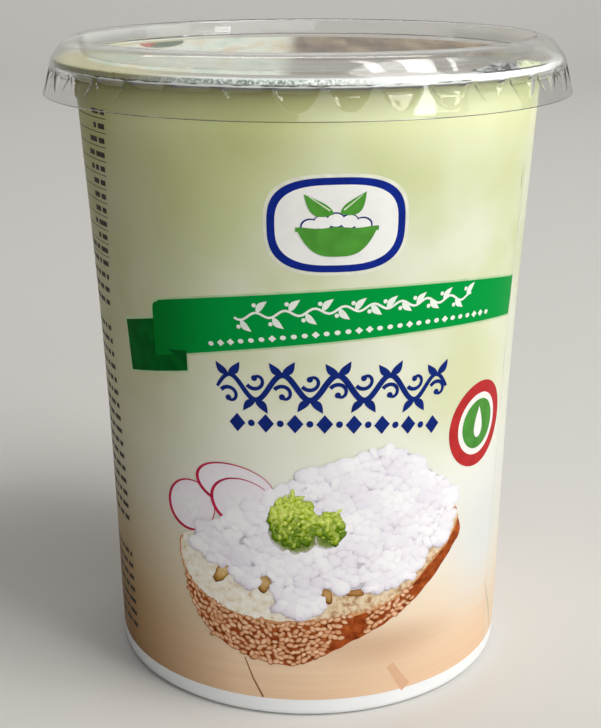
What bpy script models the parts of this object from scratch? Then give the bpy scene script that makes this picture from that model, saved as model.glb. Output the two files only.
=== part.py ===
"""A sealed 500 g plastic tub of cottage cheese with a wrap-round label, a foil seal and a clear overlid.

Metres, +Z up. The origin is the middle of the underside, and the front of the label faces -Y.
"""

import math

import bmesh
import bpy

MM = 0.001
GAP = 0.3 * MM

# Tub: a tall drawn cup, wider at the top, whose wall bows in a little half way up
FOOT_RADIUS = 38.85 * MM
MOUTH_RADIUS = 43.35 * MM
MOUTH_HEIGHT = 114.9 * MM
WAIST = 0.85 * MM
WAIST_POWER = 1.5
BASE_ROUND = 1.3 * MM
FOOT_RING_WIDTH = 1.9 * MM
UNDERSIDE_RECESS = 1.2 * MM
FLANGE_RADIUS = 46.7 * MM
FLANGE_BOTTOM = 116.9 * MM
FLANGE_THICKNESS = 0.8 * MM
NECK_RADIUS = 44.1 * MM

# Label: a film band set flush in the wall
LABEL_BOTTOM = 3.6 * MM
LABEL_TOP = 116.2 * MM
LABEL_THICKNESS = 0.3 * MM

# Seal: a foil lid pressed on the flange, its edge turned down unevenly
FOIL_TOP = 118.3 * MM
FOIL_RADIUS = 47.15 * MM
FOIL_THICKNESS = 0.2 * MM
FOIL_EDGE_DROP = 1.1 * MM
FOIL_EDGE_WAVE = 0.1 * MM
FOIL_EDGE_ROUND = 0.35 * MM
FOLD_ANGLE = math.radians(-41)
FOLD_SPREAD = math.radians(11)
FOLD_HEIGHT = 1.2 * MM
FOLD_RADIUS = 45.4 * MM
FOLD_REACH = 1.4 * MM

# Overlid: a thin clear shell with lugs round its skirt and a raised stacking ring
LID_THICKNESS = 0.35 * MM
LIP_RADIUS = 49.4 * MM
LIP_BOTTOM = 112.0 * MM
LIP_HEIGHT = 1.1 * MM
CORNER_RADIUS = 47.75 * MM
CORNER_HEIGHT = 118.2 * MM
SHOULDER_POWER = 1.25
RING_TOP = 122.0 * MM
RING_INNER_RADIUS = 42.3 * MM
CREST_WIDTH = 0.6 * MM
CREST_DROP = 0.4 * MM
RECESS_FOOT_RADIUS = 41.9 * MM
PANEL_TOP = 119.1 * MM
LUGS = 36
LUG_TURN = math.radians(3)
LUG_LOW = 113.2 * MM
LUG_HIGH = 117.1 * MM
LUG_DEPTH = 1.1 * MM
LUG_WIDTH = 0.8
LUG_SIDE_BLEND = 0.3
LUG_POINT_RISE = 1.6
LUG_TOP_RISE = 6
LUG_ROWS = (0.3, 0.6, 0.83, 1)

SEGMENTS = 72
LUG_SEGMENTS = 4
SHARP_ANGLE = math.radians(35)


def wall_radius(height):
    """The radius of the wall's outer face at a height: a straight taper less the bow of the waist."""
    share = height / MOUTH_HEIGHT
    taper = FOOT_RADIUS + (MOUTH_RADIUS - FOOT_RADIUS) * share
    return taper - WAIST * math.sin(math.pi * min(share, 1)) ** WAIST_POWER


def spread(low, high, count):
    """Evenly spaced values from low to high, both included."""
    return [low + (high - low) * step / (count - 1) for step in range(count)]


def arc(centre, radii, start, end, count):
    """Points on an elliptical arc in the profile's plane, angles in degrees from the outward direction."""
    angles = [math.radians(angle) for angle in spread(start, end, count)]
    return [(centre[0] + radii[0] * math.cos(a), centre[1] + radii[1] * math.sin(a)) for a in angles]


def turned(name, profile, segments, form=None, repeat=0):
    """Turns a profile of (radius, height) points about the Z axis; form may move a point by its angle.

    With repeat, each run of that many segments has its faces split in mirror image about its middle.
    """
    bm = bmesh.new()
    rings = []
    for radius, height in profile:
        if radius == 0:
            rings.append([bm.verts.new((0, 0, height))])
            continue
        ring = []
        for angle in spread(0, 2 * math.pi, segments + 1)[:-1]:
            r, z = form(radius, height, angle) if form else (radius, height)
            ring.append(bm.verts.new((r * math.cos(angle), r * math.sin(angle), z)))
        rings.append(ring)
    for lower, upper in zip(rings, rings[1:]):
        for index in range(segments):
            after = (index + 1) % segments
            corners = [lower[index % len(lower)], lower[after % len(lower)]]
            corners += [upper[after % len(upper)], upper[index % len(upper)]]
            corners = list(dict.fromkeys(corners))
            if repeat and len(corners) == 4:
                first = index % repeat < repeat // 2
                bm.faces.new([corners[1], corners[3], corners[0]] if first else corners[:3])
                bm.faces.new(corners[1:] if first else [corners[2], corners[3], corners[0]])
            else:
                bm.faces.new(corners)
    mesh = bpy.data.meshes.new(name)
    bm.to_mesh(mesh)
    bm.free()
    mesh.shade_smooth()
    mesh.set_sharp_from_angle(angle=SHARP_ANGLE)
    part = bpy.data.objects.new(name, mesh)
    bpy.context.scene.collection.objects.link(part)
    return part


def thicken(part, thickness):
    """Gives an open surface its wall, inward from its outer face."""
    solidify = part.modifiers.new("Wall", "SOLIDIFY")
    solidify.thickness = thickness
    solidify.offset = -1
    solidify.use_even_offset = True


def finish(part, colour, roughness, metallic=0.0, transmission=0.0):
    material = bpy.data.materials.new(part.name)
    material.use_nodes = True
    shader = material.node_tree.nodes["Principled BSDF"]
    shader.inputs["Base Color"].default_value = (*colour, 1)
    shader.inputs["Roughness"].default_value = roughness
    shader.inputs["Metallic"].default_value = metallic
    shader.inputs["Transmission Weight"].default_value = transmission
    part.data.materials.append(material)


def make_tub():
    """The shut cup with its cheese: solid from the recessed underside to the top of the flange."""
    ring_outer = wall_radius(BASE_ROUND) - BASE_ROUND
    ring_inner = ring_outer - FOOT_RING_WIDTH
    profile = [(0, UNDERSIDE_RECESS), (ring_inner - UNDERSIDE_RECESS, UNDERSIDE_RECESS), (ring_inner, 0)]
    profile += arc((ring_outer, BASE_ROUND), (BASE_ROUND, BASE_ROUND), -90, 0, 4)
    bed = LABEL_THICKNESS + GAP
    low = LABEL_BOTTOM - GAP
    high = LABEL_TOP + GAP
    profile.append((wall_radius(low), low))
    profile += [(wall_radius(height) - bed, height) for height in spread(low, high, 7)]
    profile.append((wall_radius(high), high))
    profile.append((NECK_RADIUS, FLANGE_BOTTOM))
    profile.append((FLANGE_RADIUS, FLANGE_BOTTOM))
    flange_top = FLANGE_BOTTOM + FLANGE_THICKNESS
    profile += [(FLANGE_RADIUS, flange_top), (0, flange_top)]
    tub = turned("tub", profile, SEGMENTS)
    finish(tub, (0.86, 0.87, 0.84), 0.35)


def make_label():
    """The printed film round the wall, flush with the bare bands above and below it."""
    profile = [(wall_radius(height), height) for height in spread(LABEL_BOTTOM, LABEL_TOP, 7)]
    label = turned("label", profile, SEGMENTS)
    thicken(label, LABEL_THICKNESS)
    finish(label, (0.62, 0.64, 0.36), 0.3)


def foil_form(radius, height, angle):
    """Waves the turned-down edge, and raises a crumpled fold over the flange at the right front."""
    if height < FOIL_TOP - FOIL_EDGE_DROP / 2:
        height += FOIL_EDGE_WAVE * (math.sin(7 * angle) + math.sin(17 * angle + 1))
        return radius, height
    away = (angle - FOLD_ANGLE + math.pi) % (2 * math.pi) - math.pi
    along = max(0, 1 - abs(away) / FOLD_SPREAD)
    across = max(0, 1 - abs(radius - FOLD_RADIUS) / FOLD_REACH)
    return radius, height + FOLD_HEIGHT * along * across


def make_foil_seal():
    """The foil seal: flat over the mouth, with its edge pressed down round the flange."""
    profile = [(FOIL_RADIUS, FOIL_TOP - FOIL_EDGE_DROP), (FOIL_RADIUS, FOIL_TOP - FOIL_EDGE_ROUND)]
    fold_radii = [FOLD_RADIUS + FOLD_REACH / 2, FOLD_RADIUS, FOLD_RADIUS - FOLD_REACH]
    profile += [(radius, FOIL_TOP) for radius in [FOIL_RADIUS - FOIL_EDGE_ROUND, *fold_radii, 0]]
    seal = turned("foil_seal", profile, SEGMENTS, foil_form)
    thicken(seal, FOIL_THICKNESS)
    finish(seal, (0.75, 0.76, 0.74), 0.3, metallic=0.6)


def lug_form(radius, height, angle):
    """Presses in a shield-shaped lug between two flares: wide under the flange, a round point below."""
    share = (height - LUG_LOW) / (LUG_HIGH - LUG_LOW)
    if not 0 < share < 1:
        return radius, height
    off_middle = abs(angle * LUGS / math.tau % 1 - 0.5) * 2
    half_width = LUG_WIDTH * math.sqrt(share)
    depth = min(1, max(0, (half_width - off_middle) / LUG_SIDE_BLEND + 0.5))
    fade = min(1, share * LUG_POINT_RISE) * min(1, (1 - share) * LUG_TOP_RISE)
    return radius - LUG_DEPTH * depth * fade, height


def make_overlid():
    """The clear overlid: lip, skirt with lugs, rounded shoulder, stacking ring, recessed panel."""
    lip_top = LIP_BOTTOM + LIP_HEIGHT
    profile = [(LIP_RADIUS, LIP_BOTTOM)]
    for height in [lip_top] + [LUG_LOW + (LUG_HIGH - LUG_LOW) * share for share in LUG_ROWS]:
        share = (height - LIP_BOTTOM) / (CORNER_HEIGHT - LIP_BOTTOM)
        profile.append((LIP_RADIUS + (CORNER_RADIUS - LIP_RADIUS) * share, height))
    crest_radius = RING_INNER_RADIUS + CREST_WIDTH
    for angle in spread(0, math.pi / 2, 6):
        reach = (CORNER_RADIUS - crest_radius) * math.cos(angle) ** SHOULDER_POWER
        rise = (RING_TOP - CORNER_HEIGHT) * math.sin(angle) ** SHOULDER_POWER
        profile.append((crest_radius + reach, CORNER_HEIGHT + rise))
    profile.append((RING_INNER_RADIUS, RING_TOP - CREST_DROP))
    profile += [(RECESS_FOOT_RADIUS, PANEL_TOP), (0, PANEL_TOP)]
    overlid = turned("overlid", profile, LUGS * LUG_SEGMENTS, lug_form, LUG_SEGMENTS)
    overlid.rotation_euler.z = LUG_TURN
    thicken(overlid, LID_THICKNESS)
    finish(overlid, (0.95, 0.96, 0.95), 0.06, transmission=0.95)


for old in list(bpy.data.objects):
    bpy.data.objects.remove(old, do_unlink=True)
make_tub()
make_label()
make_foil_seal()
make_overlid()
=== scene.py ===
import math
import random

import bmesh
import bpy
import numpy as np
from mathutils import Matrix, Vector


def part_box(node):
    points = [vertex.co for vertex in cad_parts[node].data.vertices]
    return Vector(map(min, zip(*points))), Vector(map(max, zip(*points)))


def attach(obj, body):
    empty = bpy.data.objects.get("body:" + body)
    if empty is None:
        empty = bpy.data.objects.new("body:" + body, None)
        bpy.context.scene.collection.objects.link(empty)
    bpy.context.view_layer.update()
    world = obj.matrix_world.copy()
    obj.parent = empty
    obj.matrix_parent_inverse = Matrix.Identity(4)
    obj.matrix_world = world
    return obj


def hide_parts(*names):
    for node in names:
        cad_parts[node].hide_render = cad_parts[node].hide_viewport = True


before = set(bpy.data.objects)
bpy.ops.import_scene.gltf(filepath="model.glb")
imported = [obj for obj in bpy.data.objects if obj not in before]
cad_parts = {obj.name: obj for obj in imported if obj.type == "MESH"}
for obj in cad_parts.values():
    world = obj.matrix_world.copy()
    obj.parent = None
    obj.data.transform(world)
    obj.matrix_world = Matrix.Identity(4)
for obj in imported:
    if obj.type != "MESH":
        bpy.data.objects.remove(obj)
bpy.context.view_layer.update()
MM = 0.001


# Camera
# The tub is seen from a little above its rim, at arm's length, a hair to the right of the label's middle.
def rgb(red, green, blue):
    """A colour given as it shows on a screen, 0 to 255, in the linear values that shaders take."""
    shares = [value / 255 for value in (red, green, blue)]
    return tuple(s / 12.92 if s <= 0.04045 else ((s + 0.055) / 1.055) ** 2.4 for s in shares) + (1.0,)


PHOTO_HEIGHT = 728
FOCAL_PIXELS = 1353.3
CAMERA_PLACE = Vector((0.73, -260.14, 140.38)) * MM
LOOK_DOWN = 0.3105
LOOK_LEFT = 0.0085
CAMERA_ROLL = -0.0030

camera_data = bpy.data.cameras.new("camera")
camera_data.sensor_width = 36
camera_data.lens = FOCAL_PIXELS * camera_data.sensor_width / PHOTO_HEIGHT
camera = bpy.data.objects.new("camera", camera_data)
bpy.context.scene.collection.objects.link(camera)
look = Vector((
    -math.sin(LOOK_LEFT) * math.cos(LOOK_DOWN),
    math.cos(LOOK_LEFT) * math.cos(LOOK_DOWN),
    -math.sin(LOOK_DOWN),
))
level = Vector((math.cos(LOOK_LEFT), math.sin(LOOK_LEFT), 0))
right = math.cos(CAMERA_ROLL) * level + math.sin(CAMERA_ROLL) * level.cross(look)
up = right.cross(look)
turn = Matrix((right, up, -look)).transposed()
camera.matrix_world = Matrix.Translation(CAMERA_PLACE) @ turn.to_4x4()
bpy.context.scene.camera = camera


# Studio
# A plain pale floor curves up into a backdrop. A window-like key light stands at the right front, with soft
# fill from the right and the front.
FLOOR_COLOUR = rgb(212, 210, 206)
SWEEP_RADIUS = 0.5
SWEEP_STEPS = 12
FLOOR_FRONT = -3.0
FLOOR_HALF_WIDTH = 4.0
BACKDROP_PLACE = 1.6
BACKDROP_TOP = 4.0
KEY_WHITE = (1.0, 0.985, 0.96)
WINDOW_PANES = (((0.382, -0.248, 1.324), 0.1), ((0.642, -0.079, 1.242), 0.23), ((0.817, 0.1, 1.133), 0.035))
WINDOW_AIM = (0, -0.04, 0.12)
WINDOW_SLANT = (0.739, 0.591, -0.324)
PANE_HEIGHT = 0.4
BODY_AIM = (0, 0, 0.06)
SKIRT_AIM = (0, 0, 0.115)
PANE_WATTS_PER_METRE = 7.5


def make_material(name):
    material = bpy.data.materials.new(name)
    material.use_nodes = True
    return material, material.node_tree, material.node_tree.nodes["Principled BSDF"]


def feed(tree, node, inputs):
    """Links or sets the inputs of a node, given by name or number."""
    for key, value in inputs.items():
        if isinstance(value, bpy.types.NodeSocket):
            tree.links.new(value, node.inputs[key])
        else:
            node.inputs[key].default_value = value
    return node


def add_node(tree, kind, inputs=(), **settings):
    """Adds a shader node, sets its own settings, and feeds its inputs."""
    node = tree.nodes.new(kind)
    for key, value in settings.items():
        setattr(node, key, value)
    return feed(tree, node, dict(inputs))


def object_place(tree):
    return add_node(tree, "ShaderNodeTexCoord").outputs["Object"]


def noise(tree, vector, scale, detail=2.0, rough=0.5):
    inputs = {"Vector": vector, "Scale": scale, "Detail": detail, "Roughness": rough}
    return add_node(tree, "ShaderNodeTexNoise", inputs).outputs["Fac"]


def add_bump(tree, shader, height, strength, distance):
    """Gives a shader relief from a height, which distance scales in metres."""
    inputs = {"Height": height, "Strength": strength, "Distance": distance}
    feed(tree, shader, {"Normal": add_node(tree, "ShaderNodeBump", inputs).outputs[0]})


def make_floor():
    bm = bmesh.new()
    sweep_start = BACKDROP_PLACE - SWEEP_RADIUS
    corner = [(y, 0.0) for y in (FLOOR_FRONT, -1.0, 0.0, sweep_start)]
    for angle in np.linspace(0, math.pi / 2, SWEEP_STEPS + 1)[1:]:
        corner.append((sweep_start + SWEEP_RADIUS * math.sin(angle), SWEEP_RADIUS * (1 - math.cos(angle))))
    corner.append((BACKDROP_PLACE, BACKDROP_TOP))
    rows = [[bm.verts.new((x, y, z)) for x in (-FLOOR_HALF_WIDTH, FLOOR_HALF_WIDTH)] for y, z in corner]
    for near, far in zip(rows, rows[1:]):
        bm.faces.new((near[0], near[1], far[1], far[0]))
    mesh = bpy.data.meshes.new("floor")
    bm.to_mesh(mesh)
    bm.free()
    mesh.shade_smooth()
    floor = bpy.data.objects.new("floor", mesh)
    bpy.context.scene.collection.objects.link(floor)
    material, tree, shader = make_material("floor paper")
    add_bump(tree, shader, noise(tree, object_place(tree), 900.0), 0.05, 0.0002)
    shader.inputs["Base Color"].default_value = FLOOR_COLOUR
    shader.inputs["Roughness"].default_value = 0.6
    mesh.materials.append(material)


def add_light(name, place, aim, size, power, colour, along=None):
    """A soft rectangular light: size is its width and height in metres, along the direction of its width."""
    data = bpy.data.lights.new(name, "AREA")
    data.shape = "RECTANGLE"
    data.size, data.size_y = size
    data.energy = power
    data.color = colour
    light = bpy.data.objects.new(name, data)
    light.location = place
    away = Vector(place) - Vector(aim)
    light.rotation_euler = away.to_track_quat("Z", "Y").to_euler()
    if along:
        depth = away.normalized()
        width = (Vector(along) - Vector(along).dot(depth) * depth).normalized()
        light.rotation_euler = Matrix((width, depth.cross(width), depth)).transposed().to_euler()
    bpy.context.scene.collection.objects.link(light)
    return light


make_floor()
key = add_light("key", (0.71, -0.42, 1.13), BODY_AIM, (0.6, 0.8), 10.8, KEY_WHITE)
key.visible_glossy = False
for place, width in WINDOW_PANES:
    watts = PANE_WATTS_PER_METRE * width
    add_light("window pane", place, WINDOW_AIM, (width, PANE_HEIGHT), watts, KEY_WHITE, WINDOW_SLANT)
add_light("low pane", (1.08, -0.9, 0.49), SKIRT_AIM, (0.24, 0.36), 1.4, KEY_WHITE)
add_light("low curtain", (1.15, -1.0, 0.46), SKIRT_AIM, (0.9, 0.34), 1.5, KEY_WHITE)
add_light("side fill", (1.3, -0.1, 0.45), BODY_AIM, (0.7, 0.9), 1.5, (1.0, 0.99, 0.97))
front = add_light("front fill", (0.55, -1.25, 0.75), BODY_AIM, (1.4, 0.5), 5.8, (1.0, 1.0, 1.0))
front.visible_glossy = False
add_light("backdrop wash", (-0.2, 0.7, 1.5), (-0.2, 1.6, 0.3), (1.6, 0.4), 9, (1.0, 0.995, 0.985))
world = bpy.data.worlds.new("studio")
world.use_nodes = True
feed(world.node_tree, world.node_tree.nodes["Background"], {"Color": rgb(235, 235, 238), "Strength": 0.12})
bpy.context.scene.world = world
bpy.context.scene.view_settings.view_transform = "Standard"


# Tub
# The cup is white polypropylene, injection moulded in one piece: a foot ring round a recessed underside with
# its gate mark, a tall wall with a faint waist, and a flat flange. The label lies in the wall, flush with it.
FOOT_RADIUS = 38.85
MOUTH_RADIUS = 43.35
MOUTH_HEIGHT = 114.9
WAIST = 0.85
BASE_ROUND = 1.3
FOOT_RING_WIDTH = 1.9
UNDERSIDE_RECESS = 1.2
NECK_RADIUS = 44.1
FLANGE_BOTTOM = 116.9
FLANGE_TOP = 118.1
FLANGE_RADIUS = 47.0
NECK_SHADE = ((0.1159, 0.1163), (0.11692, 0.11698))
FILM_THICKNESS = 0.1
label_box = [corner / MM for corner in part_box("label")]
LABEL_BOTTOM = label_box[0].z
LABEL_TOP = label_box[1].z


def wall_radius(height):
    """The radius in mm of the wall's outer face at a height in mm; takes one height or an array."""
    share = np.asarray(height, float) / MOUTH_HEIGHT
    bow = np.sin(math.pi * np.clip(share, 0, 1)) ** 1.5
    return FOOT_RADIUS + (MOUTH_RADIUS - FOOT_RADIUS) * share - WAIST * bow


def ripple(angle, height):
    """The slight unevenness of a thin moulded wall, in mm, fading out at the foot and the flange."""
    waves = 0.035 * np.sin(5 * angle + 0.045 * height + 0.6) + 0.025 * np.sin(9 * angle - 0.07 * height)
    waves = waves + 0.012 * np.sin(17 * angle + 0.11 * height + 2.0)
    return waves * np.clip(height / 12, 0, 1) * np.clip((MOUTH_HEIGHT - height) / 12, 0, 1)


def arc_points(centre, radii, start, end, count):
    """Points of an elliptical arc in a profile's plane, angles in degrees."""
    angles = np.radians(np.linspace(start, end, count))
    return [(centre[0] + radii[0] * math.cos(a), centre[1] + radii[1] * math.sin(a)) for a in angles]


def mesh_piece(name, points, faces, material):
    """Makes a smooth piece from points in mm and faces, which rides on the tub."""
    mesh = bpy.data.meshes.new(name)
    mesh.from_pydata([tuple(point) for point in np.asarray(points) * MM], [], faces)
    mesh.shade_smooth()
    mesh.materials.append(material)
    piece = bpy.data.objects.new(name, mesh)
    bpy.context.scene.collection.objects.link(piece)
    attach(piece, "root")
    return piece


def turned_piece(name, profile, segments, material, form=None, closed=False, sharp=35):
    """Turns a profile of (radius, height) in mm about Z.

    form moves the points by their radii, heights, angles and row. A radius of zero makes one point on the
    axis. A closed profile's last ring joins its first.
    """
    angles = np.linspace(0, 2 * math.pi, segments, endpoint=False)
    points, rings = [], []
    for row, (radius, height) in enumerate(profile):
        if radius == 0:
            rings.append([len(points)])
            points.append((0, 0, height))
            continue
        radii, heights = np.full(segments, radius), np.full(segments, height)
        if form:
            radii, heights = form(radii, heights, angles, row)
        rings.append(list(range(len(points), len(points) + segments)))
        points += list(zip(radii * np.cos(angles), radii * np.sin(angles), heights))
    faces = []
    for lower, upper in zip(rings, rings[1:] + rings[:1] * closed):
        for index in range(segments):
            after = (index + 1) % segments
            face = [lower[index % len(lower)], lower[after % len(lower)]]
            face += [upper[after % len(upper)], upper[index % len(upper)]]
            faces.append(list(dict.fromkeys(face)))
    piece = mesh_piece(name, points, faces, material)
    piece.data.set_sharp_from_angle(angle=math.radians(sharp))
    return piece


def math_node(tree, operation, first, second=0.0, third=0.0):
    return add_node(tree, "ShaderNodeMath", {0: first, 1: second, 2: third}, operation=operation).outputs[0]


def map_range(tree, value, low, high, bottom=0.0, top=1.0, fade="LINEAR"):
    """Maps value from low..high to bottom..top, held at the ends."""
    inputs = {"Value": value, "From Min": low, "From Max": high, "To Min": bottom, "To Max": top}
    return add_node(tree, "ShaderNodeMapRange", inputs, interpolation_type=fade).outputs["Result"]


def stops_of(positions, *colours):
    """Ramp stops from positions and as many colours, given as rgb takes them."""
    return [(position, rgb(*colour)) for position, colour in zip(positions, colours)]


def ramp(tree, value, stops):
    """A colour ramp over (position, colour) stops, fed by value."""
    node = add_node(tree, "ShaderNodeValToRGB", {"Fac": value})
    while len(node.color_ramp.elements) < len(stops):
        node.color_ramp.elements.new(0.5)
    for element, (position, colour) in zip(node.color_ramp.elements, stops):
        element.position = position
        element.color = colour
    return node.outputs["Color"]


def moulded_white():
    """White semi-gloss plastic: faint clouding, a fine mould texture, and painted shade darkening the neck
    under the flange.
    """
    material, tree, shader = make_material("white polypropylene")
    place = object_place(tree)
    cloud = noise(tree, place, 60.0, 3.0)
    tint = ramp(tree, cloud, stops_of((0, 1), (244, 248, 250), (252, 254, 255)))
    height = add_node(tree, "ShaderNodeSeparateXYZ", {"Vector": place}).outputs["Z"]
    # Painted shade: the band of the neck just under the flange is dimmed to a fifth of its white.
    neck = math_node(tree, "SUBTRACT", *(map_range(tree, height, low, high) for low, high in NECK_SHADE))
    shade = math_node(tree, "MULTIPLY_ADD", neck, -0.8, 1.0)
    dimmed = add_node(tree, "ShaderNodeVectorMath", {0: tint, 1: shade}, operation="MULTIPLY").outputs[0]
    gloss = map_range(tree, cloud, 0.0, 1.0, 0.28, 0.4)
    feed(tree, shader, {"Base Color": dimmed, "Roughness": gloss})
    add_bump(tree, shader, noise(tree, place, 2600.0), 0.12, 0.00004)
    shader.inputs["Subsurface Weight"].default_value = 0.12
    shader.inputs["Subsurface Radius"].default_value = (0.0012, 0.0011, 0.001)
    return material


def make_tub():
    ring_outer = float(wall_radius(BASE_ROUND)) - BASE_ROUND
    ring_inner = ring_outer - FOOT_RING_WIDTH
    recess = UNDERSIDE_RECESS
    gate = [(0, recess - 0.9), (0.8, recess - 0.9), (1.1, recess - 0.6), (1.3, recess)]
    steps = [(12, recess), (12.3, recess - 0.25), (12.9, recess - 0.25), (13.2, recess)]
    steps += [(ring_inner - 3.4, recess), (ring_inner - 3.0, recess + 0.2), (ring_inner - 1.3, recess + 0.2)]
    foot = arc_points((ring_inner, 0.5), (0.5, 0.5), 180, 270, 5)
    foot += arc_points((ring_outer, BASE_ROUND), (BASE_ROUND, BASE_ROUND), -90, 0, 9)
    low, high = LABEL_BOTTOM, LABEL_TOP
    wall = [(float(wall_radius(h)), h) for h in np.linspace(2.0, low - 0.04, 4)]
    bed = FILM_THICKNESS + 0.02
    wall += [(float(wall_radius(h)) - bed, h) for h in np.linspace(low - 0.03, high + 0.03, 60)]
    wall += [(float(wall_radius(high + 0.04)), high + 0.04)]
    neck = arc_points((NECK_RADIUS, FLANGE_BOTTOM - 0.45), (0.6, 0.45), 180, 90, 5)
    edge = arc_points((FLANGE_RADIUS - 0.3, FLANGE_BOTTOM + 0.3), (0.3, 0.3), -90, 0, 4)
    edge += arc_points((FLANGE_RADIUS - 0.35, FLANGE_TOP - 0.35), (0.35, 0.35), 0, 90, 4)
    profile = gate + steps + foot + wall + neck + edge + [(0, FLANGE_TOP)]
    wall_start = len(gate + steps + foot)
    wall_stop = len(profile) - 12

    def uneven(radii, heights, angles, row):
        return radii + ripple(angles, heights) * (wall_start <= row < wall_stop), heights

    tub = turned_piece("tub_cup", profile, 256, moulded_white(), uneven)
    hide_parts("tub")


make_tub()


# Label
# A printed plastic film wraps the wall and is moulded into it: a pale green ground over the warm tone of a
# wooden table at the foot. Prints lie on it, placed in mm by their height and by their arc to the right of
# the front, at a reach of 41 mm.
REACH = 41.0
PRINT_STEP = 0.02
FRONT_FADE = (122, 72)
GROUND_STOPS = stops_of(
    (0.0, 0.1, 0.2, 0.33, 0.52, 0.75, 0.97), (242, 206, 170), (244, 216, 184), (243, 229, 206),
    (240, 240, 232), (234, 236, 216), (226, 230, 206), (209, 213, 164),
)
MOSS = rgb(206, 211, 150)
GROUND_SPOTS = (
    ((-22, 92), (20, 24), 0.55, MOSS), ((-12, 102), (20, 16), 0.75, MOSS), ((34, 63), (20, 17), 0.6, MOSS),
    ((-9, 109), (16, 10), 0.5, rgb(172, 178, 104)), ((42, 29), (20, 22), 1.0, rgb(226, 228, 226)),
    ((14, 14), (22, 6), 0.42, rgb(176, 124, 86)),
)
LABEL_COLUMNS = 360
LABEL_ROWS = 90


def on_label(arcs, heights, lifts=0.0):
    """Points in mm on the label, lifted off it by lifts."""
    arcs, heights = np.asarray(arcs, float), np.asarray(heights, float)
    angles = arcs / REACH
    radii = wall_radius(heights) + ripple(angles - math.pi / 2, heights) + lifts
    return np.stack([radii * np.sin(angles), -radii * np.cos(angles), heights + 0 * angles], -1)


def label_normals(arcs, heights):
    """The label's outward directions, from its slopes along the arc and up the wall."""
    arcs, heights = np.asarray(arcs, float), np.asarray(heights, float)
    along = on_label(arcs + 0.2, heights) - on_label(arcs - 0.2, heights)
    upward = on_label(arcs, heights + 0.2) - on_label(arcs, heights - 0.2)
    out = np.cross(along, upward)
    return out / np.linalg.norm(out, axis=-1, keepdims=True)


def end_group(group, results):
    """Gives a node group its outputs: a name, a kind of socket and a source for each."""
    for name, kind, _ in results:
        group.interface.new_socket(name, in_out="OUTPUT", socket_type="NodeSocket" + kind)
    feed(group, group.nodes.new("NodeGroupOutput"), {name: source for name, _, source in results})
    return group


def label_place_group():
    """A node group that gives a point's arc and height on the label in mm, alone and as a flat vector."""
    group = bpy.data.node_groups.new("place on label", "ShaderNodeTree")
    split = add_node(group, "ShaderNodeSeparateXYZ", {"Vector": object_place(group)})
    back = math_node(group, "MULTIPLY", split.outputs["Y"], -1.0)
    angle = math_node(group, "ARCTAN2", split.outputs["X"], back)
    arc = math_node(group, "MULTIPLY", angle, REACH)
    height = math_node(group, "MULTIPLY", split.outputs["Z"], 1 / MM)
    flat = add_node(group, "ShaderNodeCombineXYZ", {"X": arc, "Y": height}).outputs[0]
    return end_group(group, (("Arc", "Float", arc), ("Height", "Float", height), ("Flat", "Vector", flat)))


def film_finish_group():
    """A node group for the film's surface: uneven gloss and a fine orange-peel height."""
    group = bpy.data.node_groups.new("film finish", "ShaderNodeTree")
    place = object_place(group)
    gloss = map_range(group, noise(group, place, 45.0, 4.0), 0.0, 1.0, 0.26, 0.42)
    peel = noise(group, place, 900.0)
    return end_group(group, (("Roughness", "Float", gloss), ("Height", "Float", peel)))


PLACE_ON_LABEL = label_place_group()
FILM_FINISH = film_finish_group()


def film_material(name, paint):
    """A printed film material. paint(tree, arc, height, flat) gives the socket of its colour."""
    material, tree, shader = make_material(name)
    place = add_node(tree, "ShaderNodeGroup", node_tree=PLACE_ON_LABEL)
    surface = add_node(tree, "ShaderNodeGroup", node_tree=FILM_FINISH)
    colour = paint(tree, *place.outputs)
    feed(tree, shader, {"Base Color": colour, "Roughness": surface.outputs["Roughness"]})
    shader.inputs["Specular IOR Level"].default_value = 0.015
    add_bump(tree, shader, surface.outputs["Height"], 0.06, 0.00003)
    return material


def mix(tree, share, first, second, mode="MIX"):
    """Mixes two colours; share is a socket or a number."""
    inputs = {0: share, 6: first, 7: second}
    return add_node(tree, "ShaderNodeMix", inputs, data_type="RGBA", blend_type=mode).outputs[2]


def times(tree, first, *others):
    """The product of some sockets, of which the last may be a number."""
    for other in others:
        first = math_node(tree, "MULTIPLY", first, other)
    return first


def length_of(tree, vector):
    return add_node(tree, "ShaderNodeVectorMath", {0: vector}, operation="LENGTH").outputs["Value"]


def stretched(tree, vector, scale):
    return add_node(tree, "ShaderNodeMapping", {"Vector": vector, "Scale": scale}).outputs[0]


def soft_spot(tree, arc, height, centre, radii, reach=1.0):
    """A soft oval on the label: reach at its centre (arc, height), 0 at its radii."""
    across = math_node(tree, "DIVIDE", math_node(tree, "SUBTRACT", arc, centre[0]), radii[0])
    upward = math_node(tree, "DIVIDE", math_node(tree, "SUBTRACT", height, centre[1]), radii[1])
    both = add_node(tree, "ShaderNodeCombineXYZ", {"X": across, "Y": upward}).outputs[0]
    return map_range(tree, length_of(tree, both), 0.0, 1.0, reach, 0.0, "SMOOTHSTEP")


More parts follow.
